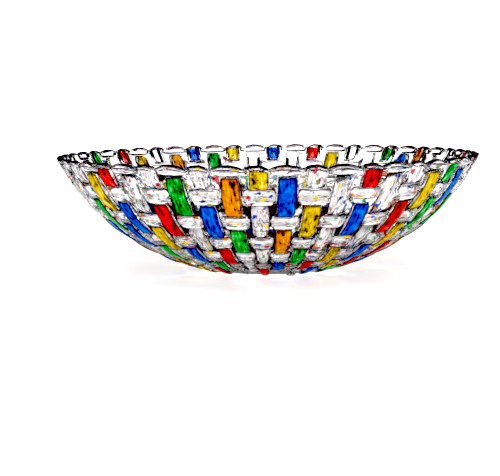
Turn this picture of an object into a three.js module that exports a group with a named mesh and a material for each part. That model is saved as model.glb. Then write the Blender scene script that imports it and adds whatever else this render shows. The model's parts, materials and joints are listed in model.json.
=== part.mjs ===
// A pressed-glass bowl with a basket-weave outside, as a standalone three.js scene graph.
// Millimetres, +Z up, origin at the middle of the surface that the bowl stands on.
// The clear body carries upright straps that pass over and under flat hoops. Translucent enamel
// panes lie on the outer faces of the straps, and three clear foot pads lie under the base.
import * as THREE from 'three';
import { mergeVertices } from 'three/addons/utils/BufferGeometryUtils.js';

// overall size
const rimRadius = 150;
const bowlDepth = 81; // rim to the underside of the glass
const wallThickness = 6;
const lipWidth = 3.4; // width of the rim's top
const padHeight = 1.6;
const rimHeight = padHeight + bowlDepth;

// outer wall: an ellipse whose centre lies above the rim and a little past the axis
const ellipseHalfHeight = 135.5;
const ellipseCentreAboveRim = 47;
const ellipseCentreRadius = -2.5;
const ellipseHalfWidth =
  (rimRadius - ellipseCentreRadius) / Math.sqrt(1 - (ellipseCentreAboveRim / ellipseHalfHeight) ** 2);

// the weave: upright straps, alternately over and under the hoops
const strapCount = 52;
const strapPitch = (2 * Math.PI) / strapCount;
const firstStrapAngle = -0.0355; // radians round from -Y, where strap 0 stands
const strapHalfWidth = 0.34; // in strap pitches
const hoopDrop = 0.7; // how far a hoop's face lies behind a strap's face
const recessDrop = 2.8; // how far the floor between straps and hoops lies behind a strap's face
const scallopRise = 2.6; // how far the rim rises between two dips
const strapScallop = 0.43; // half the width of the scallop over a strap, in strap pitches
const scallopShift = 0.087; // how far the scallops stand back round the rim from the straps

// each hoop's top and bottom edge, measured down the outer wall from the rim
const hoopEdges = [
  [0, 8.3], [18.4, 29.8], [40.1, 51.6], [61.6, 74.9], [80.8, 96.3], [101.5, 111.3], [117, 127],
];

// base and its standing ring
const ringOuterRadius = 49;
const ringInnerRadius = 38;
const ringDepth = 1;
const floorRadius = 40;
const floorThickness = 6.5;
const ringInnerSlope = 1; // how far the ring's inner side leans in over its depth

// places down the wall where the inside surface is laid out, from the base up
const innerRowDistances = [105, 74, 40, 12];

// enamel panes
const paneThickness = 0.5;
const paneGap = 0.2; // kept between a pane and the strap behind it
const paneSideMargin = 0.06; // clear strip on each side of a pane, in strap pitches
const paneEndMargin = 1.2; // clear strip at the end of a strap's face
const rimMargin = 4; // clear strip below the rim

// foot pads
const padRadius = 3.6;
const padRing = 42.5; // distance of a pad's middle from the axis
const firstPadAngle = 0.375; // radians round from -Y
const padGap = 0.15; // kept between a pad and the base
const padUnderRound = 0.5;
const padTopRound = 0.2;
const padSides = 16;

// colours of the strap faces in each row, going round; c is clear glass with no pane.
// Odd rows sit on the even straps and even rows on the odd straps.
const enamelRows = [
  'YcRcGccRcOGcRBYBcRGccccRcc',
  'BccYBccOcBcYccGOYcRcccYcGO',
  'cYBRGGcYBRcGYcBRcOBYRcGBRB',
];
const enamels = {
  R: { name: 'red', colour: 0xc8141c },
  Y: { name: 'yellow', colour: 0xf2c400 },
  B: { name: 'blue', colour: 0x0c3aa8 },
  G: { name: 'green', colour: 0x128a32 },
  O: { name: 'orange', colour: 0xee7a10 },
};

const clearGlass = () => new THREE.MeshStandardMaterial({ color: 0xe8eef0, roughness: 0.05, metalness: 0 });
const clearPad = () => new THREE.MeshStandardMaterial({ color: 0xdfe4e6, roughness: 0.3, metalness: 0 });
const enamel = (colour) => new THREE.MeshStandardMaterial({ color: colour, roughness: 0.15, metalness: 0 });

// A point of the wall: its radius, height and outward direction, `inset` behind the outer ellipse.
// The turn runs from the rim (rimTurn) to the edge of the base (baseTurn).
const rimTurn = Math.asin(ellipseCentreAboveRim / ellipseHalfHeight);
const baseTurn = Math.asin((ellipseCentreAboveRim + bowlDepth) / ellipseHalfHeight);
function wallPoint(turn, inset = 0) {
  const normal = new THREE.Vector2(
    Math.cos(turn) / ellipseHalfWidth,
    -Math.sin(turn) / ellipseHalfHeight,
  ).normalize();
  const radius = ellipseCentreRadius + ellipseHalfWidth * Math.cos(turn) - inset * normal.x;
  const height = rimHeight + ellipseCentreAboveRim - ellipseHalfHeight * Math.sin(turn) - inset * normal.y;
  return { radius, height, normal };
}

// The turn at a given distance down the wall from the rim.
const wallCurve = new THREE.EllipseCurve(
  ellipseCentreRadius, rimHeight + ellipseCentreAboveRim,
  ellipseHalfWidth, ellipseHalfHeight, -rimTurn, -baseTurn, true,
);
wallCurve.arcLengthDivisions = 800;
const wallLength = wallCurve.getLength();
function turnAt(distance) {
  const along = wallCurve.getUtoTmapping(0, Math.min(distance, wallLength));
  return rimTurn + (baseTurn - rimTurn) * along;
}

// Rows of the outer surface: both edges of every hoop, and the middle of every recess between two.
const outerRows = [];
hoopEdges.forEach(([top, bottom], index) => {
  const hoop = index + 1;
  outerRows.push({ distance: top, hoop });
  outerRows.push({ distance: bottom, hoop });
  const next = hoopEdges[index + 1];
  if (next) {
    outerRows.push({ distance: (bottom + next[0]) / 2, recessBelow: hoop });
  }
});

const onEvenStraps = (hoop) => hoop % 2 === 1;

// How far the outer surface lies behind the ellipse: at a strap's face, or between two straps.
function relief(row, overStrap, evenStrap) {
  if (row.hoop) {
    const strapOnTop = evenStrap === onEvenStraps(row.hoop);
    return overStrap && strapOnTop ? 0 : hoopDrop;
  }
  return overStrap ? 0 : recessDrop;
}

// Places sampled round the bowl in each strap pitch: the strap's middle and right edge, the dip of
// the rim between two scallops, and the next strap's left edge.
const samplesPerStrap = 4;
const segments = strapCount * samplesPerStrap;
function sampleAt(segment) {
  const strap = Math.floor(segment / samplesPerStrap);
  const evenStrap = strap % 2 === 0;
  const dip = (evenStrap ? strapScallop : 1 - strapScallop) - scallopShift;
  const offset = [0, strapHalfWidth, dip, 1 - strapHalfWidth][segment % samplesPerStrap];
  return {
    angle: firstStrapAngle + (strap + offset) * strapPitch,
    overStrap: offset !== dip,
    evenStrap: offset > dip ? !evenStrap : evenStrap, // the strap that the place lies on
    fromArch: Math.abs((evenStrap ? offset : offset - 1) + scallopShift),
  };
}

// The rim's scallops: one arch over each even strap and a wider one over the hoop between two of
// them. The result is how far the rim lies down the wall from the top of the arches.
function scallopDrop(fromArch) {
  const overStrap = fromArch <= strapScallop;
  const fromArchMiddle = overStrap ? fromArch : 1 - fromArch;
  const halfArch = overStrap ? strapScallop : 1 - strapScallop;
  return scallopRise * (fromArchMiddle / halfArch) ** 2;
}

// The clear body: a closed profile turned about the axis, then pressed into the weave.
function glassBody() {
  const outer = outerRows.map((row) => {
    const { radius, height } = wallPoint(turnAt(row.distance));
    return new THREE.Vector2(radius, height);
  });
  const underside = [
    new THREE.Vector2(ringOuterRadius, padHeight),
    new THREE.Vector2(ringInnerRadius, padHeight),
    new THREE.Vector2(ringInnerRadius - ringInnerSlope, padHeight + ringDepth),
    new THREE.Vector2(0, padHeight + ringDepth),
  ];
  const inside = [new THREE.Vector2(0, padHeight + floorThickness)];
  inside.push(new THREE.Vector2(floorRadius, padHeight + floorThickness));
  innerRowDistances.forEach((distance) => {
    const { radius, height } = wallPoint(turnAt(distance), wallThickness);
    inside.push(new THREE.Vector2(radius, height));
  });
  inside.push(new THREE.Vector2(rimRadius - lipWidth, rimHeight));
  const profile = [...outer, ...underside, ...inside, outer[0].clone()];
  const lathe = new THREE.LatheGeometry(profile.reverse(), segments);
  lathe.rotateX(Math.PI / 2);

  const position = lathe.attributes.position;
  const rowsInProfile = profile.length;
  for (let i = 0; i < position.count; i += 1) {
    const segment = Math.floor(i / rowsInProfile) % segments;
    const fromRim = rowsInProfile - 1 - (i % rowsInProfile);
    const sample = sampleAt(segment);
    let radius = Math.hypot(position.getX(i), position.getY(i));
    let height = position.getZ(i);
    const outerIndex = fromRim % (rowsInProfile - 1);
    const rimEdge = wallPoint(turnAt(scallopDrop(sample.fromArch)));
    if (outerIndex === 0) {
      radius = rimEdge.radius;
      height = rimEdge.height;
    } else if (outerIndex < outerRows.length) {
      const row = outerRows[outerIndex];
      const surface = wallPoint(turnAt(row.distance), relief(row, sample.overStrap, sample.evenStrap));
      radius = surface.radius;
      height = surface.height;
    } else if (outerIndex === rowsInProfile - 2) {
      radius = rimEdge.radius - lipWidth;
      height = rimEdge.height;
    }
    position.setXYZ(i, radius * Math.sin(sample.angle), -radius * Math.cos(sample.angle), height);
  }
  lathe.deleteAttribute('normal');
  lathe.deleteAttribute('uv');
  const body = mergeVertices(lathe, 1e-4);
  body.computeVertexNormals();
  return body;
}

// The rows of the wall that one strap face spans: the hoop it covers and half the recess each side.
function strapFaceDistances(row) {
  const [top, bottom] = hoopEdges[row - 1];
  const above = hoopEdges[row - 2];
  const below = hoopEdges[row];
  const distances = above ? [(above[1] + top) / 2, top, bottom] : [top, bottom];
  distances.push((bottom + below[0]) / 2);
  return distances;
}

// A pane: a thin slab that follows the strap's face down the wall, extruded across the strap.
function pane(row) {
  const faces = strapFaceDistances(row).map((distance) => wallPoint(turnAt(distance)));
  const path = faces.map(({ radius, height }) => new THREE.Vector2(radius, height));
  const trim = (end, next, length) => end.addScaledVector(next.clone().sub(end).normalize(), length);
  trim(path[0], path[1], row === 1 ? rimMargin : paneEndMargin);
  trim(path[path.length - 1], path[path.length - 2], paneEndMargin);
  const lift = (distance) => path.map((point, i) => point.clone().addScaledVector(faces[i].normal, distance));
  const outline = new THREE.Shape([...lift(paneGap), ...lift(paneGap + paneThickness).reverse()]);
  const middle = path[Math.floor(path.length / 2)].x;
  const width = 2 * middle * Math.sin((strapHalfWidth - paneSideMargin) * strapPitch);
  const slab = new THREE.ExtrudeGeometry(outline, { depth: width, bevelEnabled: false });
  slab.translate(0, 0, -width / 2);
  slab.rotateX(Math.PI / 2); // the outline's plane stands upright, with its radius along +X
  slab.rotateZ(-Math.PI / 2); // now the pane faces -Y
  return slab;
}

// A foot pad: a short clear disc with a rounded edge and a flat underside.
function footPad() {
  const top = padHeight - padGap;
  const profile = [
    new THREE.Vector2(0, 0),
    new THREE.Vector2(padRadius - padUnderRound, 0),
    new THREE.Vector2(padRadius, top / 2),
    new THREE.Vector2(padRadius - padTopRound, top),
    new THREE.Vector2(0, top),
  ];
  const pad = new THREE.LatheGeometry(profile, padSides);
  pad.rotateX(Math.PI / 2);
  return pad;
}

const bowl = new THREE.Group();

const body = new THREE.Mesh(glassBody(), clearGlass());
body.name = 'glass_body';
bowl.add(body);

enamelRows.forEach((letters, index) => {
  const row = index + 1;
  const shape = pane(row);
  [...letters].forEach((letter, place) => {
    if (letter === 'c') {
      return;
    }
    const strap = 2 * place + (onEvenStraps(row) ? 0 : 1);
    const mesh = new THREE.Mesh(shape, enamel(enamels[letter].colour));
    mesh.name = `${enamels[letter].name}_pane_r${row}_s${String(strap).padStart(2, '0')}`;
    mesh.rotation.z = firstStrapAngle + strap * strapPitch;
    bowl.add(mesh);
  });
});

['a', 'b', 'c'].forEach((letter, index) => {
  const angle = firstPadAngle + (index * 2 * Math.PI) / 3;
  const pad = new THREE.Mesh(footPad(), clearPad());
  pad.name = `foot_pad_${letter}`;
  pad.position.set(padRing * Math.sin(angle), -padRing * Math.cos(angle), 0);
  bowl.add(pad);
});

export default bowl;
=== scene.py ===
import bmesh
import bpy
import json
import math
from mathutils import Matrix, Vector

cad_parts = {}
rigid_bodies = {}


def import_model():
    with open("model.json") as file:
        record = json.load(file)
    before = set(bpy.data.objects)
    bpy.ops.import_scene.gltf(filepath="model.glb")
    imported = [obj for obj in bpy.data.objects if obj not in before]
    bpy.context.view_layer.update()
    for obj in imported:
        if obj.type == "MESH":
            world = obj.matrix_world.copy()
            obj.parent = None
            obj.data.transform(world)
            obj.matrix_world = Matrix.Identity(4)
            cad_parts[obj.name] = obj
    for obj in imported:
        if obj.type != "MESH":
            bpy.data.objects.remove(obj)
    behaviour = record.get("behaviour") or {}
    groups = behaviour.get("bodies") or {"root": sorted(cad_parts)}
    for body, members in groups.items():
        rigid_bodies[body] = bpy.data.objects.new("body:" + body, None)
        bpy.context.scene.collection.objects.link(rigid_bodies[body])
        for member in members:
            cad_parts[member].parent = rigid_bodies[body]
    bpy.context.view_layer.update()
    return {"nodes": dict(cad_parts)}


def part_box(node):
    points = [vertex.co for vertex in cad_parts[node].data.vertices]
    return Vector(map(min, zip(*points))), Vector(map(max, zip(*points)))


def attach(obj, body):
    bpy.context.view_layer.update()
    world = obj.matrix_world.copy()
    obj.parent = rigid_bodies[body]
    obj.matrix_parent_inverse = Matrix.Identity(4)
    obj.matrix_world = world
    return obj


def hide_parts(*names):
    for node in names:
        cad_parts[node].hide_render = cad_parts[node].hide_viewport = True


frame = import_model()
print("frame loaded:", len(frame["nodes"]), "solids")

mm = 0.001
glassLow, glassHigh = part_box("glass_body")
rimRadius = max(glassHigh[0], -glassLow[0])
rimTop = glassHigh[2]
glassBottom = glassLow[2]


class Wire:
    # a node socket that can be used in ordinary arithmetic, in shader and in geometry trees
    def __init__(self, tree, socket):
        self.tree = tree
        self.socket = socket

    @classmethod
    def add(cls, tree, kind, settings=None, inputs=None, output=0):
        # a new node: its settings first, then a number or another wire for each input
        made = tree.nodes.new(kind)
        for name, value in (settings or {}).items():
            if name == "stops":
                elements = made.color_ramp.elements
                while len(elements) < len(value):
                    elements.new(0.5)
                for element, (place, colour) in zip(elements, value):
                    element.position = place
                    element.color = (*colour, 1.0)
            else:
                setattr(made, name, value)
        for key, value in (inputs or {}).items():
            if isinstance(value, Wire):
                tree.links.new(value.socket, made.inputs[key])
            else:
                made.inputs[key].default_value = value
        return cls(tree, made.outputs[output])

    def math(self, operation, other=None, first=None):
        values = {0: self if first is None else first}
        if other is not None:
            values[1] = other
        return Wire.add(self.tree, "ShaderNodeMath", {"operation": operation}, values)

    def near(self, value):
        # 1 where the wire is that value, 0 elsewhere
        return Wire.add(self.tree, "ShaderNodeMath", {"operation": "COMPARE"}, {0: self, 1: value, 2: 0.2})

    def __add__(self, other):
        return self.math("ADD", other)

    def __radd__(self, other):
        return self.math("ADD", other)

    def __sub__(self, other):
        return self.math("SUBTRACT", other)

    def __rsub__(self, other):
        return self.math("SUBTRACT", self, other)

    def __mul__(self, other):
        return self.math("MULTIPLY", other)

    def __rmul__(self, other):
        return self.math("MULTIPLY", other)

    def __truediv__(self, other):
        return self.math("DIVIDE", other)

    def __rtruediv__(self, other):
        return self.math("DIVIDE", self, other)

    def __pow__(self, other):
        return self.math("POWER", other)

    def __neg__(self):
        return self.math("MULTIPLY", -1.0)


def outputOf(wire, name):
    # another output of the node that the wire comes from
    return Wire(wire.tree, wire.socket.node.outputs[name])


def smallest(first, second):
    return first.math("MINIMUM", second)


def largest(first, second):
    return first.math("MAXIMUM", second)


def smoothBetween(value, low, high):
    # 0 up to low and 1 from high on, with a soft step between them
    return Wire.add(value.tree, "ShaderNodeMapRange", {"interpolation_type": "SMOOTHSTEP"},
                    {"Value": value, "From Min": low, "From Max": high, "To Min": 0.0, "To Max": 1.0})


def fadeBetween(value, low, high):
    return 1.0 - smoothBetween(value, low, high)


# The bowl: an elliptical wall with straps and hoops pressed into its outside. Millimetres.
bowl = {
    "halfHeight": 135.5,     # of the ellipse that the wall follows
    "centreAboveRim": 47.0,
    "centreRadius": -2.5,
    "depth": 81.0,           # from the rim to the underside of the glass
    "wall": 6.0,
    "straps": 52,
    "firstStrapAngle": -0.0355,
    "recess": 2.8,           # from the straps' faces in to the floor between them
    "strapArch": 1.1,        # how far a strap's face falls towards its ends
    "hoopArch": 0.8,
    "hoopSet": 0.35,         # how far the hoops' faces lie behind the straps'
    "edgeRound": 0.85,
    "strapCorner": 1.6,
    "hoopCorner": 3.0,
    "seamGap": 0.45,
    "strapEndGap": 0.3,      # added to the gap at a strap's lower end
    "overrun": 6.0,          # how far the first and last straps run on past the wall's ends
    "strapShare": [(0.0, 0.65), (25.0, 0.71), (60.0, 0.74), (140.0, 0.78)],  # of the pitch, down the wall
    "scallopRise": 2.8,
    "scallopReach": 9.0,     # how far down the wall the scallops are felt
    "strapScallop": 0.43,    # in strap pitches, and so is the shift
    "scallopShift": 0.087,
    "crown": 0.9,            # how far the lip's top stands over its edges
    "lip": 4.2,
    "lipTilt": 1.5,
    "rimInset": 0.25,
    "rimRound": 1.6,
    "reliefStart": (0.5, 0.8),
    "swell": 0.2,            # share of the inside over which the lip thickens to the wall
    "innerEnd": 126.0,       # where the inside of the wall meets the floor
    "ringDepth": 1.0,
    "ringSlope": (35.0, 38.2),
    "floorThickness": 6.5,
    "farFromRim": 60.0,
    "besideEdge": (-0.045, -0.022, 0.0, 0.025, 0.047, 0.07),  # columns of points, from a strap's edge
    "lastColumn": 0.45,
    "longestRow": 4.0,
    "rimRows": [0.0, 0.6, 1.2],
    "underRows": (0, 20, 35, 36.2, 38.2, 46),                 # radii; the next three are shares
    "lipRows": (0.12, 0.3, 0.5, 0.7, 0.88),
    "insideRows": (0, 0.012, 0.03, 0.055, 0.1, 0.17, 0.25, 0.34, 0.43, 0.52, 0.62, 0.72, 0.82, 0.91),
    "floorRows": (0, 0.15, 0.35, 0.65, 1.0),
}
hoopEdges = [(2.0, 8.3), (18.4, 29.8), (40.1, 51.6), (61.6, 74.9),
             (80.8, 96.3), (101.5, 111.3), (117.0, 127.0)]
pitch = 2 * math.pi / bowl["straps"]
ellipseHalfWidth = (rimRadius / mm - bowl["centreRadius"]) / math.sqrt(
    1 - (bowl["centreAboveRim"] / bowl["halfHeight"]) ** 2)
centreHeight = rimTop / mm + bowl["centreAboveRim"]
startTurn = math.asin(bowl["centreAboveRim"] / bowl["halfHeight"])
endTurn = math.asin((bowl["centreAboveRim"] + bowl["depth"]) / bowl["halfHeight"])
wallSteps = 240


def measureWall():
    # the length of the wall's outline, from the rim down to the base
    turns = [startTurn + (endTurn - startTurn) * step / wallSteps for step in range(wallSteps + 1)]
    path = [(ellipseHalfWidth * math.cos(turn), bowl["halfHeight"] * math.sin(turn)) for turn in turns]
    return sum(math.dist(start, end) for start, end in zip(path, path[1:]))


wallLength = measureWall()


def strapSpan(hoop):
    # where the strap face over a hoop starts and ends, down the wall
    top = -bowl["overrun"]
    bottom = wallLength + bowl["overrun"]
    if hoop > 0:
        top = hoopEdges[hoop - 1][1] + bowl["seamGap"]
    if hoop < len(hoopEdges) - 1:
        bottom = hoopEdges[hoop + 1][0] - bowl["seamGap"] - bowl["strapEndGap"]
    return top, bottom


def between(start, end, longest):
    # evenly spaced stops from start up to, but not including, end
    count = max(1, math.ceil((end - start) / longest - 1e-6))
    return [start + (end - start) * i / count for i in range(count)]


def spread(stops, longest):
    # the same stops, with more between them wherever two stand further apart than that
    filled = [value for start, end in zip(stops, stops[1:]) for value in between(start, end, longest)]
    return filled + [stops[-1]]


def plainMesh(name, vertices, faces, attributes=None):
    mesh = bpy.data.meshes.new(name)
    mesh.from_pydata(vertices, [], faces)
    for label, values in (attributes or {}).items():
        mesh.attributes.new(label, "FLOAT", "POINT").data.foreach_set("value", values)
    made = bpy.data.objects.new(name, mesh)
    bpy.context.scene.collection.objects.link(made)
    return made


def newTree(name, inputs):
    tree = bpy.data.node_groups.new(name, "GeometryNodeTree")
    tree.interface.new_socket("Geometry", in_out="INPUT", socket_type="NodeSocketGeometry")
    tree.interface.new_socket("Geometry", in_out="OUTPUT", socket_type="NodeSocketGeometry")
    for label, kind, value in inputs:
        socket = tree.interface.new_socket(label, in_out="INPUT", socket_type="NodeSocket" + kind)
        if value is not None:
            socket.default_value = value
    start = Wire.add(tree, "NodeGroupInput")
    named = {label: outputOf(start, label) for label, kind, value in inputs}
    named["Geometry"] = outputOf(start, "Geometry")
    return tree, named


def runTree(base, tree, values, pieceName):
    # puts the tree on the base object, sets its named inputs, and keeps the result as a plain mesh
    modifier = base.modifiers.new("shape", "NODES")
    modifier.node_group = tree
    sockets = [item for item in tree.interface.items_tree if item.in_out == "INPUT"]
    identifiers = {item.name: item.identifier for item in sockets}
    for label, value in values.items():
        modifier[identifiers[label]] = value
    evaluated = base.evaluated_get(bpy.context.evaluated_depsgraph_get())
    mesh = bpy.data.meshes.new_from_object(evaluated)
    base.modifiers.remove(modifier)
    bpy.data.objects.remove(base)
    welded = bmesh.new()
    welded.from_mesh(mesh)
    bmesh.ops.remove_doubles(welded, verts=welded.verts, dist=0.01 * mm)
    bmesh.ops.recalc_face_normals(welded, faces=welded.faces)
    openEdges = sum(1 for edge in welded.edges if len(edge.link_faces) != 2)
    triangles = sum(len(face.verts) - 2 for face in welded.faces)
    cubicCm = round(welded.calc_volume(signed=True) * 1e6, 2)
    print(pieceName + ":", triangles, "triangles,", openEdges, "open edges,", cubicCm, "cubic cm")
    welded.to_mesh(mesh)
    welded.free()
    mesh.name = pieceName
    piece = bpy.data.objects.new(pieceName, mesh)
    bpy.context.scene.collection.objects.link(piece)
    return piece


def finishTree(tree, geometry, material):
    smooth = Wire.add(tree, "GeometryNodeSetShadeSmooth", None, {"Geometry": geometry})
    whole = Wire.add(tree, "GeometryNodeRealizeInstances", None, {"Geometry": smooth})
    painted = Wire.add(tree, "GeometryNodeSetMaterial", None, {"Geometry": whole, "Material": material})
    end = tree.nodes.new("NodeGroupOutput")
    tree.links.new(painted.socket, end.inputs["Geometry"])


def keepNumbers(geometry, numbers):
    # named numbers on every point, for the materials
    settings = {"data_type": "FLOAT", "domain": "POINT"}
    for label, value in numbers.items():
        geometry = Wire.add(geometry.tree, "GeometryNodeStoreNamedAttribute", settings,
                            {"Geometry": geometry, "Name": label, "Value": value})
    return geometry


def splitVector(vector):
    first = Wire.add(vector.tree, "ShaderNodeSeparateXYZ", None, {0: vector})
    return first, outputOf(first, "Y"), outputOf(first, "Z")


def joinVector(x, y, z):
    tree = next(value.tree for value in (x, y, z) if isinstance(value, Wire))
    return Wire.add(tree, "ShaderNodeCombineXYZ", None, {"X": x, "Y": y, "Z": z})


def roundTheAxis(radius, angle, height):
    # a place in metres, from millimetres and an angle counted from the front
    return joinVector(radius * angle.math("SINE") * mm, radius * angle.math("COSINE") * -mm, height * mm)


def wallCurve(tree):
    # the wall's outline as a curve in millimetres, in the XZ plane
    line = Wire.add(tree, "GeometryNodeCurvePrimitiveLine", None, {"Start": (0, 0, 0), "End": (1, 0, 0)})
    points = Wire.add(tree, "GeometryNodeResampleCurve", None, {"Curve": line, "Count": wallSteps + 1})
    along = Wire.add(tree, "GeometryNodeSplineParameter")
    turn = along * (endTurn - startTurn) + startTurn
    radius = turn.math("COSINE") * ellipseHalfWidth + bowl["centreRadius"]
    height = centreHeight - turn.math("SINE") * bowl["halfHeight"]
    place = joinVector(radius, 0.0, height)
    return Wire.add(tree, "GeometryNodeSetPosition", None, {"Geometry": points, "Position": place})


def onWall(curve, distance, inset):
    # radius and height of the point that far down the wall and that far behind its outline
    sample = Wire.add(curve.tree, "GeometryNodeSampleCurve", {"mode": "LENGTH", "use_all_curves": True},
                      {"Curves": curve, "Length": distance}, "Position")
    radius, unused, height = splitVector(sample)
    tangentR, unused, tangentZ = splitVector(outputOf(sample, "Tangent"))
    return radius + tangentZ * inset, height - tangentR * inset


def strapShareAt(distance):
    # the straps' share of the pitch, which grows down the wall
    stops = bowl["strapShare"]
    share = None
    for (near, low), (far, high) in zip(stops, stops[1:]):
        ends = {"Value": distance, "From Min": near, "From Max": far, "To Min": 0.0, "To Max": high - low}
        part = Wire.add(distance.tree, "ShaderNodeMapRange", None, ends)
        share = part + low if share is None else share + part
    return share


def roundedBox(across, down, halfAcross, halfDown, corner):
    # distance outside (positive) or inside (negative) the edge of a face with round corners
    overAcross = across.math("ABSOLUTE") - halfAcross + corner
    overDown = down.math("ABSOLUTE") - halfDown + corner
    outside = (largest(overAcross, 0.0) ** 2.0 + largest(overDown, 0.0) ** 2.0).math("SQRT")
    return outside + smallest(largest(overAcross, overDown), 0.0) - corner


def weaveHeight(place, distance, strapWidth):
    # how high the straps and the hoops stand over the floor of the recesses; the even straps lie over
    # every other hoop, from the first, and the odd straps over the rest
    fromEven = place.math("PINGPONG", 1.0)
    fromOdd = 1.0 - fromEven
    straps = None
    hoops = None
    for hoop, (top, bottom) in enumerate(hoopEdges):
        onStrap, onHoop = (fromEven, fromOdd) if hoop % 2 == 0 else (fromOdd, fromEven)
        start, end = strapSpan(hoop)
        down = distance - (start + end) / 2
        half = (end - start) / 2
        edge = roundedBox(onStrap * strapWidth["pitch"], down, strapWidth["half"], half, bowl["strapCorner"])
        face = smoothBetween(-edge, 0.0, bowl["edgeRound"])
        strap = face * (bowl["recess"] - (down / half) ** 2.0 * bowl["strapArch"])
        hoopHalf = strapWidth["pitch"] - strapWidth["half"] - bowl["seamGap"]
        across = onHoop * strapWidth["pitch"]
        down = distance - (top + bottom) / 2
        edge = roundedBox(across, down, hoopHalf, (bottom - top) / 2, bowl["hoopCorner"])
        face = smoothBetween(-edge, 0.0, bowl["edgeRound"])
        pill = face * (bowl["recess"] - bowl["hoopSet"] - (across / hoopHalf) ** 2.0 * bowl["hoopArch"])
        straps = strap if straps is None else largest(straps, strap)
        hoops = pill if hoops is None else largest(hoops, pill)
    return straps, hoops


def sectorBlank(edge):
    # one sector, two straps wide, as a flat sheet: x is straps across, y is a place along the closed
    # outline, and z says which part of the outline it is
    nearHalf = [0.0] + [edge + offset for offset in bowl["besideEdge"]] + [bowl["lastColumn"]]
    columns = {round(sign * near + strap, 4) for near in nearHalf for sign in (-1, 1) for strap in (0, 1)}
    columns = sorted(columns | {2 - bowl["lastColumn"]})
    turn = bowl["edgeRound"]
    gap = bowl["seamGap"]
    stops = list(bowl["rimRows"])
    for top, bottom in hoopEdges:
        strapEnd = top - gap - bowl["strapEndGap"]
        stops += [strapEnd - turn, strapEnd, top, top + turn / 2, top + turn]
        stops += [bottom - turn, bottom - turn / 2, bottom, bottom + gap, bottom + gap + turn]
    outerRows = spread(sorted(stop for stop in stops if stop >= 0) + [wallLength], bowl["longestRow"])
    parts = (bowl["underRows"], reversed(outerRows), bowl["lipRows"], bowl["insideRows"], bowl["floorRows"])
    rows = [(part, value) for part, values in enumerate(parts) for value in values]
    vertices = [(place, value, part) for part, value in rows for place in columns]
    wide = len(columns)
    faces = [(r * wide + c, r * wide + c + 1, (r + 1) * wide + c + 1, (r + 1) * wide + c)
             for r in range(len(rows) - 1) for c in range(wide - 1)]
    return plainMesh("sectorBlank", vertices, faces)


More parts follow.
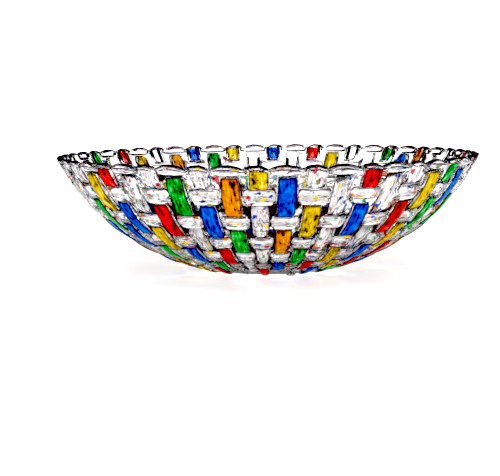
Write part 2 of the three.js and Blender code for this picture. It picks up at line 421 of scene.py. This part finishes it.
def makeGlassBody(material):
    edge = bowl["strapShare"][0][1] / 2
    blank = sectorBlank(edge)
    tree, given = newTree("pressedGlass", [
        ("Straps", "Int", bowl["straps"]), ("Recess Depth", "Float", bowl["recess"]),
        ("Wall", "Float", bowl["wall"]), ("Scallop Rise", "Float", bowl["scallopRise"]),
        ("Lip", "Float", bowl["lip"]), ("Material", "Material", None)])
    curve = wallCurve(tree)
    place, value, part = splitVector(Wire.add(tree, "GeometryNodeInputPosition"))
    under, outside, onLip, inside, onFloor = [part.near(float(index)) for index in range(5)]

    # scallops: one over each strap and one between two straps
    fromEven = (place + bowl["scallopShift"]).math("PINGPONG", 1.0)
    strapSide = fromEven.math("LESS_THAN", bowl["strapScallop"])
    overStrap = (fromEven / bowl["strapScallop"]) ** 2.0
    overHoop = ((1.0 - fromEven) / (1 - bowl["strapScallop"])) ** 2.0
    fall = strapSide * overStrap + (1.0 - strapSide) * overHoop
    drop = fall * given["Scallop Rise"] + bowl["crown"]

    # outside of the wall; its columns follow the straps' edges as the straps' share changes
    outerDistance = value + drop * largest(1.0 - value / bowl["scallopReach"], 0.0)
    nearest = place.math("ROUND")
    offset = place - nearest
    off = offset.math("ABSOLUTE")
    half = strapShareAt(outerDistance) * 0.5
    stretched = smallest(off, edge) * half / edge + largest(off - edge, 0.0) * (0.5 - half) / (0.5 - edge)
    followed = nearest + offset.math("SIGN") * stretched
    outlineRadius, unused = onWall(curve, outerDistance, 0.0)
    width = outlineRadius * pitch
    straps, hoops = weaveHeight(followed, outerDistance, {"pitch": width, "half": width * half})
    relief = largest(straps, hoops)
    rimDip = smoothBetween(outerDistance - drop, 0.0, bowl["rimRound"])
    outerInset = (given["Recess Depth"] - relief) * rimDip + (1.0 - rimDip) * bowl["rimInset"]

    # the lip, then the smooth inside
    bend = value * math.pi
    lipInset = bowl["rimInset"] + (given["Lip"] - bowl["rimInset"]) * (1.0 - bend.math("COSINE")) * 0.5
    lipDistance = drop + bowl["lipTilt"] * value - bend.math("SINE") * bowl["crown"]
    innerStart = drop + bowl["lipTilt"]
    innerDistance = innerStart + (bowl["innerEnd"] - innerStart) * value
    innerInset = given["Lip"] + (given["Wall"] - given["Lip"]) * smoothBetween(value, 0.0, bowl["swell"])

    # the floor and, below it, the hollow inside the standing ring
    cornerRadius, cornerHeight = onWall(curve, bowl["innerEnd"], given["Wall"])
    slope = 1.0 - value
    floorHeight = glassBottom / mm + bowl["floorThickness"]
    onDisc = cornerRadius * slope, cornerHeight * slope * slope + floorHeight * (1.0 - slope * slope)
    underside = value, glassBottom / mm + fadeBetween(value, *bowl["ringSlope"]) * bowl["ringDepth"]

    radius = None
    height = None
    for mask, (partRadius, partHeight) in ((under, underside),
                                           (outside, onWall(curve, outerDistance, outerInset)),
                                           (onLip, onWall(curve, lipDistance, lipInset)),
                                           (inside, onWall(curve, innerDistance, innerInset)),
                                           (onFloor, onDisc)):
        radius = mask * partRadius if radius is None else radius + mask * partRadius
        height = mask * partHeight if height is None else height + mask * partHeight
    angle = (outside * followed + (1.0 - outside) * place) * pitch + bowl["firstStrapAngle"]

    started = smoothBetween(value, *bowl["reliefStart"]) * outside
    fromRim = outside * value + inside * (innerDistance - drop) - onLip * bend.math("SINE")
    noted = keepNumbers(given["Geometry"], {
        "relief": 1.0 - started + started * relief / given["Recess Depth"],
        "fromRim": fromRim + (under + onFloor) * bowl["farFromRim"],
        "outside": outside,
        "acrossStrap": (followed - followed.math("ROUND")) * width,
        "down": outerDistance,
        "valley": fall,
        "onHoop": hoops.math("GREATER_THAN", straps)})
    sector = Wire.add(tree, "GeometryNodeSetPosition", None, {
        "Geometry": noted, "Position": roundTheAxis(radius, angle, height)})

    sectors = given["Straps"] * 0.5
    posts = Wire.add(tree, "GeometryNodeMeshLine", None, {"Count": sectors, "Offset": (0, 0, 0)})
    index = Wire.add(tree, "GeometryNodeInputIndex")
    turned = joinVector(0.0, 0.0, index * (2 * math.pi) / sectors)
    rotation = Wire.add(tree, "FunctionNodeEulerToRotation", None, {0: turned})
    copies = Wire.add(tree, "GeometryNodeInstanceOnPoints", None, {
        "Points": posts, "Instance": sector, "Rotation": rotation})
    finishTree(tree, copies, given["Material"])
    sizes = {"Straps": bowl["straps"], "Recess Depth": bowl["recess"], "Wall": bowl["wall"],
             "Scallop Rise": bowl["scallopRise"], "Lip": bowl["lip"], "Material": material}
    return runTree(blank, tree, sizes, "glassBody")


# Enamel panes: colours of the strap faces in each row, going round from the front. c is clear glass.
enamel = {
    "rows": [
        "YcRcGccRcOGcRBYBcRGccccRcc",
        "BccYBccOcBcYccGOYcRcccYcGO",
        "cYBRGGcYBRcGYcBRcOBYRcGBRB",
        "OccYcGcROcBYcGRcYBcOGBBYcG",
        "cGYBROcBGcYRcOBcGYcRBOcGBR",
        "BRYRBGcOYBcRGYcBOcRGYBOcGc",
        "RcBGcYRcBOcGRcYBcRGcOBcYRc",
    ],
    "colours": {             # name, body colour, lightest streaks
        "R": ("red", (0.95, 0.03, 0.04), (1.0, 0.20, 0.16)),
        "Y": ("yellow", (1.0, 0.73, 0.02), (1.0, 0.93, 0.28)),
        "B": ("blue", (0.005, 0.22, 0.86), (0.08, 0.50, 1.0)),
        "G": ("green", (0.05, 0.62, 0.14), (0.36, 0.94, 0.34)),
        "O": ("orange", (1.0, 0.43, 0.02), (1.0, 0.70, 0.14)),
    },
    "thickness": 0.35,
    "lift": 0.14,            # how far the sheet under the pane stands over the strap
    "sideMargin": 0.35,
    "endMargin": 0.4,
    "rimMargin": 4.0,
    "baseMargin": 2.0,
    "pointsAcross": 7,
    "pointsDown": 11,
    "crowding": 1.25,        # draws the points towards the edges
    "taper": 0.22,           # how much narrower the pane is at its very ends
    "taperPower": 14.0,
    "edgeFall": 0.3,
    "edgePower": 8.0,
    "seedPerStrap": 3.7,
    "seedPerRow": 1.3,
}


def paneList(letter):
    # strap number, top, bottom, and the strap face's middle and half length, for each pane of a colour
    panes = []
    for row, letters in enumerate(enamel["rows"]):
        start, end = strapSpan(row)
        top = enamel["rimMargin"] if row == 0 else start + enamel["endMargin"]
        bottom = min(end, wallLength - enamel["baseMargin"]) - enamel["endMargin"]
        for place, cell in enumerate(letters):
            if cell == letter:
                panes.append((2 * place + row % 2, top, bottom, (start + end) / 2, (end - start) / 2))
    return panes


def crowdToEdges(value):
    return value.math("SIGN") * (1.0 - (1.0 - value.math("ABSOLUTE")) ** enamel["crowding"])


def makePanes(letter, material):
    name = enamel["colours"][letter][0]
    panes = paneList(letter)
    labels = ("strap", "top", "bottom", "middle", "half")
    values = {label: [float(pane[i]) for pane in panes] for i, label in enumerate(labels)}
    blank = plainMesh(name + "Marks", [(0, 0, 0)] * len(panes), [], values)

    tree, given = newTree("enamelPanes", [
        ("Thickness", "Float", enamel["thickness"]), ("Lift", "Float", enamel["lift"]),
        ("Side Margin", "Float", enamel["sideMargin"]), ("Material", "Material", None)])
    curve = wallCurve(tree)
    patch = Wire.add(tree, "GeometryNodeMeshGrid", None, {
        "Size X": 2.0, "Size Y": 2.0,
        "Vertices X": enamel["pointsAcross"], "Vertices Y": enamel["pointsDown"]})
    placed = Wire.add(tree, "GeometryNodeInstanceOnPoints", None, {
        "Points": given["Geometry"], "Instance": patch})
    real = Wire.add(tree, "GeometryNodeRealizeInstances", None, {"Geometry": placed})
    sheetX, sheetY, unused = splitVector(Wire.add(tree, "GeometryNodeInputPosition"))
    across = crowdToEdges(sheetX)
    along = crowdToEdges(sheetY)
    read = {label: Wire.add(tree, "GeometryNodeInputNamedAttribute", {"data_type": "FLOAT"}, {"Name": label})
            for label in labels}
    distance = read["top"] + (1.0 - along) * 0.5 * (read["bottom"] - read["top"])
    wallRadius, unused = onWall(curve, distance, 0.0)
    halfWidth = wallRadius * pitch * strapShareAt(distance) * 0.5 - given["Side Margin"]
    sideways = across * halfWidth * (1.0 - along.math("ABSOLUTE") ** enamel["taperPower"] * enamel["taper"])
    angle = read["strap"] * pitch + bowl["firstStrapAngle"] + sideways / wallRadius
    fall = ((distance - read["middle"]) / read["half"]) ** 2.0 * bowl["strapArch"]
    edgeFall = across.math("ABSOLUTE") ** enamel["edgePower"] * enamel["edgeFall"]
    radius, height = onWall(curve, distance, fall + edgeFall - given["Lift"])
    noted = keepNumbers(real, {
        "across": across,
        "down": distance,
        "along": along,
        "seed": read["strap"] * enamel["seedPerStrap"] + read["middle"] * enamel["seedPerRow"]})
    lowSheet = Wire.add(tree, "GeometryNodeSetPosition", None, {
        "Geometry": noted, "Position": roundTheAxis(radius, angle, height)})
    solid = Wire.add(tree, "GeometryNodeExtrudeMesh", None, {
        "Mesh": lowSheet, "Offset Scale": given["Thickness"] * mm, "Individual": False})
    under = Wire.add(tree, "GeometryNodeFlipFaces", None, {"Mesh": lowSheet})
    join = tree.nodes.new("GeometryNodeJoinGeometry")
    tree.links.new(solid.socket, join.inputs[0])
    tree.links.new(under.socket, join.inputs[0])
    finishTree(tree, Wire(tree, join.outputs[0]), given["Material"])
    sizes = {"Thickness": enamel["thickness"], "Lift": enamel["lift"],
             "Side Margin": enamel["sideMargin"], "Material": material}
    return runTree(blank, tree, sizes, name + "Panes")


def newMaterial(name):
    material = bpy.data.materials.new(name)
    material.use_nodes = True
    tree = material.node_tree
    tree.nodes.clear()
    end = tree.nodes.new("ShaderNodeOutputMaterial")
    return material, tree, end


def numberOn(tree, label):
    return Wire.add(tree, "ShaderNodeAttribute", {"attribute_name": label}, None, "Fac")


def noise(place, scale, detail, output=0):
    return Wire.add(place.tree, "ShaderNodeTexNoise", None, {
        "Vector": place, "Scale": scale, "Detail": detail}, output)


def ramp(stops, value):
    return Wire.add(value.tree, "ShaderNodeValToRGB", {"stops": stops}, {"Fac": value})


def blend(first, second, factor):
    # a colour between two colours; each is a wire or three numbers
    ends = {key: value if isinstance(value, Wire) else (*value, 1.0)
            for key, value in ((6, first), (7, second))}
    return Wire.add(factor.tree, "ShaderNodeMix", {"data_type": "RGBA"}, {0: factor, **ends}, 2)


# Clear pressed glass: painted shade in the grooves and hollows of the weave and along the rim; on the faces
# a thin white veil, fine painted dark lines that follow each strap and hoop, and small painted refractions
# of the coloured panes
clearGlass = {
    "cloudScale": 90.0,
    "rippleScale": 160.0,
    "bentScale": 260.0,
    "seedScale": 5.0,
    # near-black tones of the painted shade
    "paintedShadeColours": [(0.40, (0.003, 0.003, 0.003)), (0.47, (0.035, 0.006, 0.004)),
                   (0.53, (0.004, 0.003, 0.003)), (0.62, (0.004, 0.006, 0.05)),
                   (0.72, (0.004, 0.03, 0.006))],
    "face": (0.26, 0.38),          # shares of the relief over which a groove turns into a face
    "hollow": (0.02, 0.14),        # and over which a hollow turns into a groove
    "deeper": (4.0, 45.0),         # mm down the wall over which the painted shade grows darker
    "hollowDeeper": 0.18,
    "hollowPatches": (0.54, 0.64),
    "grooveDeeper": 0.08,
    "groovePatches": (0.38, 0.52),
    "grooveLeast": 0.2,
    # painted shade along the rim: the crest, two dark lines outside and one inside
    "crest": (-0.96, -0.84),
    "upperLine": (0.5, 0.9),       # mm below the rim, outside
    "lowerLineAt": 2.6,            # a second line that follows the scallops
    "lowerLine": (0.35, 0.75),
    "lowerLinePatches": (0.32, 0.42),
    "insideLine": (2.2, 2.9),      # mm below the rim, inside
    "valley": (0.5, 0.8),          # where the inside lines fade, between two scallops
    # painted shade: a dark edge where the glass turns away
    "outline": (0.79, 0.90),
    "outlineShadeStrength": 0.9,
    # painted dark lines on the faces, in place of the refraction lines of tilted glass
    "lineShadeStrength": 0.85,
    "lineWidth": 0.024,
    "lineGrowth": 2.0,             # how much wider the lines are where the glass turns away
    "lineCore": 0.4,
    "lineSquash": 0.10,
    "lineScale": 0.55,
    "lineSeed": 60.0,
    "linePatches": (0.50, 0.60),
    "lineTurned": 0.30,            # adds lines where the glass turns away
    "veilColour": (0.88, 0.84, 0.87),
    "veilLeast": 0.15,
    "veilMost": 0.60,
    "veilPatches": (0.35, 0.68),
    "veilTurned": (0.45, 0.85),    # where the veil clears as the glass turns away
    "dabOnHoop": (9.0, 3.2),       # size of the cells that hold the painted refraction flecks, along and across, mm
    "dabOnStrap": (3.4, 6.5),
    "dabBend": (1.4, 1.4, 0.0),
    "dabSeed": 40.0,
    "refractionFleckColours": [(0.0, (0.60, 0.01, 0.03)), (0.22, (0.85, 0.26, 0.01)), (0.38, (0.0, 0.06, 0.52)),
                     (0.58, (0.01, 0.32, 0.05)), (0.74, (0.88, 0.58, 0.01))],
    "fleckShare": 0.66,
    "fleckSize": (0.27, 0.38),
    "flecks": 0.95,
}


def weavePaintedShade(tree, cloud, ripple, onFace):
    # painted shade: broken dark patches in the grooves, and fewer of them in the hollows near the rim
    look = clearGlass
    inHollow = fadeBetween(numberOn(tree, "relief"), *look["hollow"])
    deeper = smoothBetween(numberOn(tree, "down"), *look["deeper"])
    hollow = smoothBetween(cloud + deeper * look["hollowDeeper"], *look["hollowPatches"])
    groove = smoothBetween(ripple + deeper * look["grooveDeeper"], *look["groovePatches"])
    groove = groove * (1 - look["grooveLeast"]) + look["grooveLeast"]
    return (1.0 - onFace) * (inHollow * hollow + (1.0 - inHollow) * groove)


def rimPaintedShade(tree, ripple, outside):
    # painted shade: two dark lines below the scallops outside, and one over the lip that fades between two
    # scallops
    look = clearGlass
    fromRim = numberOn(tree, "fromRim")
    upper = outside * fadeBetween(fromRim, *look["upperLine"])
    lower = outside * fadeBetween((fromRim - look["lowerLineAt"]).math("ABSOLUTE"), *look["lowerLine"])
    lower = lower * smoothBetween(ripple, *look["lowerLinePatches"])
    within = (1.0 - outside) * fadeBetween(fromRim, *look["insideLine"])
    within = largest(fadeBetween(fromRim, *look["crest"]), within)
    within = within * fadeBetween(numberOn(tree, "valley"), *look["valley"])
    return largest(largest(upper, within), lower)


def paintedShadeLines(tree, cloud, seed, grazing):
    # painted shade lines: contours of a noise stretched along the strap, or round the hoop where it's a hoop
    look = clearGlass
    onHoop = numberOn(tree, "onHoop")
    lineX = numberOn(tree, "acrossStrap") * (onHoop * look["lineSquash"] + (1.0 - onHoop))
    lineY = numberOn(tree, "down") * (onHoop + (1.0 - onHoop) * look["lineSquash"])
    place = joinVector(lineX * look["lineScale"], lineY * look["lineScale"], seed * look["lineSeed"])
    fromContour = (noise(place, 1.0, 1.5) - 0.5).math("ABSOLUTE")
    width = grazing * (look["lineWidth"] * look["lineGrowth"]) + look["lineWidth"]
    line = fadeBetween(fromContour, width * look["lineCore"], width)
    return line * smoothBetween(cloud + grazing * look["lineTurned"], *look["linePatches"])


def paintedRefractionFlecks(tree, place, seed):
    # how strongly a painted refraction of the coloured panes shows, and its colour
    look = clearGlass
    onHoop = numberOn(tree, "onHoop")
    sizes = zip(("acrossStrap", "down"), look["dabOnHoop"], look["dabOnStrap"])
    dabX, dabY = [numberOn(tree, label) / (onHoop * hoopSize + (1.0 - onHoop) * strapSize)
                  for label, hoopSize, strapSize in sizes]
    bent = noise(place, look["bentScale"], 2.0, "Color")
    shifted = Wire.add(tree, "ShaderNodeVectorMath", {"operation": "MULTIPLY_ADD"}, {
        0: bent, 1: look["dabBend"], 2: joinVector(dabX, dabY, seed * look["dabSeed"])})
    cells = Wire.add(tree, "ShaderNodeTexVoronoi", None, {"Vector": shifted, "Scale": 1.0})
    pick, unused, chance = splitVector(outputOf(cells, "Color"))
    colour = ramp(look["refractionFleckColours"], pick)
    colour.socket.node.color_ramp.interpolation = "CONSTANT"
    chosen = chance.math("LESS_THAN", look["fleckShare"])
    return fadeBetween(cells, *look["fleckSize"]) * chosen * look["flecks"], colour


def pressedGlassFinish():
    material, tree, end = newMaterial("clearPressedGlass")
    look = clearGlass
    place = Wire.add(tree, "ShaderNodeTexCoord", None, None, "Object")
    outside = numberOn(tree, "outside")
    cloud = noise(place, look["cloudScale"], 3.0)
    ripple = noise(place, look["rippleScale"], 2.0)
    seed = noise(place, look["seedScale"], 0.0)
    onFace = smoothBetween(numberOn(tree, "relief"), *look["face"])
    fromInside = Wire.add(tree, "ShaderNodeNewGeometry", None, None, "Backfacing")
    grazing = Wire.add(tree, "ShaderNodeLayerWeight", None, {"Blend": 0.5}, "Facing")

    # painted shade: dark rim lines, dark lines on the faces, a dark edge where the glass turns away, and
    # dark grooves and hollows
    rimShade = rimPaintedShade(tree, ripple, outside)
    line = paintedShadeLines(tree, cloud, seed, grazing) * onFace * outside * look["lineShadeStrength"]
    # painted shade at the silhouette, where the glass turns away
    outline = smoothBetween(grazing, *look["outline"]) * outside * (1.0 - fromInside) * look["outlineShadeStrength"]
    paintedShade = largest(weavePaintedShade(tree, cloud, ripple, onFace), rimShade)
    paintedShade = largest(largest(paintedShade, line), outline)
    tone = ramp(look["paintedShadeColours"], ripple)
    clear = Wire.add(tree, "ShaderNodeBsdfPrincipled", None, {
        "Base Color": blend((1.0, 1.0, 1.0), tone, paintedShade), "Roughness": 0.0, "IOR": 1.52,
        "Transmission Weight": 1.0})

    # painted refractions of the coloured panes, on the veil
    refractionFleck, refractionFleckColour = paintedRefractionFlecks(tree, place, seed)
    veiled = Wire.add(tree, "ShaderNodeBsdfPrincipled", None, {
        "Base Color": blend(blend(look["veilColour"], refractionFleckColour, refractionFleck), tone, line),
        "Roughness": 0.2, "IOR": 1.3})
    cover = smoothBetween(cloud, *look["veilPatches"]) * (look["veilMost"] - look["veilLeast"])
    cover = (cover + look["veilLeast"]) * fadeBetween(grazing, *look["veilTurned"])
    cover = largest(cover, refractionFleck) * onFace * outside * (1.0 - fromInside) * (1.0 - rimShade)
    glass = Wire.add(tree, "ShaderNodeMixShader", None, {0: cover, 1: clear, 2: veiled})
    tree.links.new(glass.socket, end.inputs["Surface"])
    return material


# Foot pads: soft clear plastic with dark streaks
footPad = {
    "clear": (0.93, 0.93, 0.95),
    "streak": (0.04, 0.035, 0.04),
    "streakScale": 700.0,
    "streaks": (0.44, 0.54),
}


def clearPadFinish():
    material, tree, end = newMaterial("clearPad")
    place = Wire.add(tree, "ShaderNodeTexCoord", None, None, "Object")
    cloud = noise(place, footPad["streakScale"], 2.0)
    tint = blend(footPad["clear"], footPad["streak"], smoothBetween(cloud, *footPad["streaks"]))
    bump = Wire.add(tree, "ShaderNodeBump", None, {"Height": cloud, "Strength": 0.1, "Distance": 0.0003})
    soft = Wire.add(tree, "ShaderNodeBsdfPrincipled", None, {
        "Base Color": tint, "Roughness": 0.12, "IOR": 1.41, "Transmission Weight": 0.9, "Normal": bump})
    tree.links.new(soft.socket, end.inputs["Surface"])
    return material


# Enamel brushed along the strap: streaks, blotches, dark specks and a darker edge
brush = {
    "streaks": (3.2, 0.11, 0.0),     # across, down, and a shift that keeps the three apart
    "blotches": (1.3, 0.20, 31.0),
    "specks": (4.0, 0.55, 67.0),
    "contrast": 0.75,
    "darkest": 0.12,
    "halfDark": 0.55,
    "stops": (0.32, 0.42, 0.50, 0.56, 0.66),
    "speckShare": (0.66, 0.71),
    "speckInk": 0.9,
    "sideEdge": (0.80, 1.0),
    "endEdge": (0.93, 1.0),
    "edgeInk": 0.75,
    "transmission": 0.6,
}


def brushed(tree, mark, detail):
    acrossScale, downScale, shift = brush[mark]
    place = joinVector(numberOn(tree, "across") * acrossScale, numberOn(tree, "down") * downScale,
                       numberOn(tree, "seed") + shift)
    return noise(place, 1.0, detail)


def enamelFinish(name, colour, light):
    material, tree, end = newMaterial(name + "Enamel")
    streak = brushed(tree, "streaks", 3.0)
    blotch = brushed(tree, "blotches", 4.0)
    speck = brushed(tree, "specks", 2.0)
    tone = (streak + blotch - 1.0) * brush["contrast"] + 0.5
    dark = tuple(channel * brush["darkest"] for channel in colour)
    halfDark = tuple(channel * brush["halfDark"] for channel in colour)
    paint = ramp(list(zip(brush["stops"], (dark, halfDark, colour, colour, light))), tone)
    specks = smoothBetween(speck, *brush["speckShare"])
    side = smoothBetween(numberOn(tree, "across").math("ABSOLUTE"), *brush["sideEdge"])
    edge = largest(side, smoothBetween(numberOn(tree, "along").math("ABSOLUTE"), *brush["endEdge"]))
    paint = blend(paint, dark, largest(specks * brush["speckInk"], edge * brush["edgeInk"]))
    bump = Wire.add(tree, "ShaderNodeBump", None, {"Height": streak, "Strength": 0.3, "Distance": 0.0005})
    enamelled = Wire.add(tree, "ShaderNodeBsdfPrincipled", None, {
        "Base Color": paint, "Roughness": 0.12 + blotch * 0.1, "IOR": 1.18,
        "Transmission Weight": brush["transmission"], "Normal": bump})
    tree.links.new(enamelled.socket, end.inputs["Surface"])
    return material


glassBody = makeGlassBody(pressedGlassFinish())
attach(glassBody, "root")
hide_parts("glass_body")
print("glass body:", len(glassBody.data.polygons), "faces")

for letter, (name, colour, light) in enamel["colours"].items():
    panes = makePanes(letter, enamelFinish(name, colour, light))
    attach(panes, "root")
    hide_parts(*[node for node in frame["nodes"] if node.startswith(name + "_pane_")])
    name + "_enamel"
    print(name, "panes:", len(panes.data.polygons), "faces")

padFinish = clearPadFinish()
for node in frame["nodes"]:
    if node.startswith("foot_pad"):
        pad = bpy.data.objects[node]
        pad.data.materials.clear()
        pad.data.materials.append(padFinish)
print("foot pads finished")

# Studio: a pale floor and a white sweep of light, with dark flags that draw the edges of the glass
studio = {
    "floorColour": (0.9, 0.9, 0.9),
    "floorInShine": (0.42, 0.42, 0.42),   # the table top as the glass's own shine shows it
    "floorRadius": 0.5,
    "floorSides": 96,
    "floorGlow": 0.42,     # a lit table top, so the shadow stays faint
    "backdrop": 1.15,      # white seen behind the bowl
    "sweep": 1.35,         # bright lanes all round, seen through the glass
    "sweepTop": 0.30,      # where the lanes end, as the sine of their elevation
    "overhead": 2.0,       # soft box above
    "overheadFrom": 0.80,
    "softEdge": 0.05,
    "shine": 0.1,          # how much of it the surface reflections show
    "flags": 8,            # dark upright flags between the lanes
    "flagShare": 0.35,
    "flagEdge": 0.08,
    "blackLevel": 0.06,
    "whiteLevel": 0.62,
}


def inShine(tree):
    # 1 for light on its way to a glossy reflection, 0 for all other light
    reflected = Wire.add(tree, "ShaderNodeLightPath", None, None, "Is Reflection Ray")
    return reflected * outputOf(reflected, "Is Glossy Ray")


def makeFloor():
    # a round table top
    sides = studio["floorSides"]
    radius = studio["floorRadius"]
    turns = [2 * math.pi * side / sides for side in range(sides)]
    corners = [(radius * math.cos(turn), radius * math.sin(turn), 0) for turn in turns]
    floor = plainMesh("floor", corners, [tuple(range(sides))])
    material, tree, end = newMaterial("paleFloor")
    colour = blend(studio["floorColour"], studio["floorInShine"], inShine(tree))
    paint = Wire.add(tree, "ShaderNodeBsdfPrincipled", None, {
        "Base Color": colour, "Roughness": 0.6, "Emission Color": colour,
        "Emission Strength": studio["floorGlow"]})
    tree.links.new(paint.socket, end.inputs["Surface"])
    floor.data.materials.append(material)


def makeWorld():
    world = bpy.data.worlds.new("studioSweep")
    bpy.context.scene.world = world
    world.use_nodes = True
    tree = world.node_tree
    tree.nodes.clear()
    end = tree.nodes.new("ShaderNodeOutputWorld")
    x, y, z = splitVector(Wire.add(tree, "ShaderNodeTexCoord", None, None, "Generated"))
    around = y.math("ARCTAN2", x) * (studio["flags"] / (2 * math.pi)) + 0.5
    fromLane = (around - around.math("FLOOR") - 0.5).math("ABSOLUTE") * 2.0
    laneShare = 1 - studio["flagShare"]
    lane = fadeBetween(fromLane, laneShare - studio["flagEdge"], laneShare + studio["flagEdge"])
    soft = studio["softEdge"]
    band = fadeBetween(z, studio["sweepTop"] - soft, studio["sweepTop"] + soft) * lane
    overhead = smoothBetween(z, studio["overheadFrom"] - soft, studio["overheadFrom"] + soft)
    light = band * studio["sweep"] + overhead * studio["overhead"]
    light = light * (1.0 - inShine(tree) * (1 - studio["shine"]))
    seen = Wire.add(tree, "ShaderNodeLightPath", None, None, "Is Camera Ray")
    light = seen * studio["backdrop"] + (1.0 - seen) * light
    glow = Wire.add(tree, "ShaderNodeBackground", None, {"Color": (1, 1, 1, 1), "Strength": light})
    tree.links.new(glow.socket, end.inputs["Surface"])


# The camera stands in front and looks a little down, as a person does at a bowl on a table
cameraStand = {
    "away": 5.0188,        # from the bowl's axis, in rim radii
    "above": 0.2483,       # over the rim, in rim radii
    "pitchDown": 0.1308,
    "yawLeft": 0.0172,
    "roll": -0.0107,
    "lens": 75.09,
    "sensor": 36,
}


def makeCamera():
    down = cameraStand["pitchDown"]
    left = cameraStand["yawLeft"]
    roll = cameraStand["roll"]
    forward = Vector((-math.sin(left) * math.cos(down), math.cos(left) * math.cos(down), -math.sin(down)))
    level = Vector((math.cos(left), math.sin(left), 0))
    up = level.cross(forward)
    right = level * math.cos(roll) + up * math.sin(roll)
    top = up * math.cos(roll) - level * math.sin(roll)
    data = bpy.data.cameras.new("studioCamera")
    data.sensor_width = cameraStand["sensor"]
    data.lens = cameraStand["lens"]
    camera = bpy.data.objects.new("studioCamera", data)
    bpy.context.scene.collection.objects.link(camera)
    matrix = Matrix((right, top, -forward)).transposed().to_4x4()
    above = rimTop + cameraStand["above"] * rimRadius
    matrix.translation = Vector((0, -cameraStand["away"] * rimRadius, above))
    camera.matrix_world = matrix
    bpy.context.scene.camera = camera


def develop():
    # deep blacks and clean whites
    view = bpy.context.scene.view_settings
    view.view_transform = "Standard"
    view.use_curve_mapping = True
    view.curve_mapping.black_level = [studio["blackLevel"]] * 3
    view.curve_mapping.white_level = [studio["whiteLevel"]] * 3
    view.curve_mapping.update()


makeFloor()
makeWorld()
makeCamera()
develop()
print("studio ready")
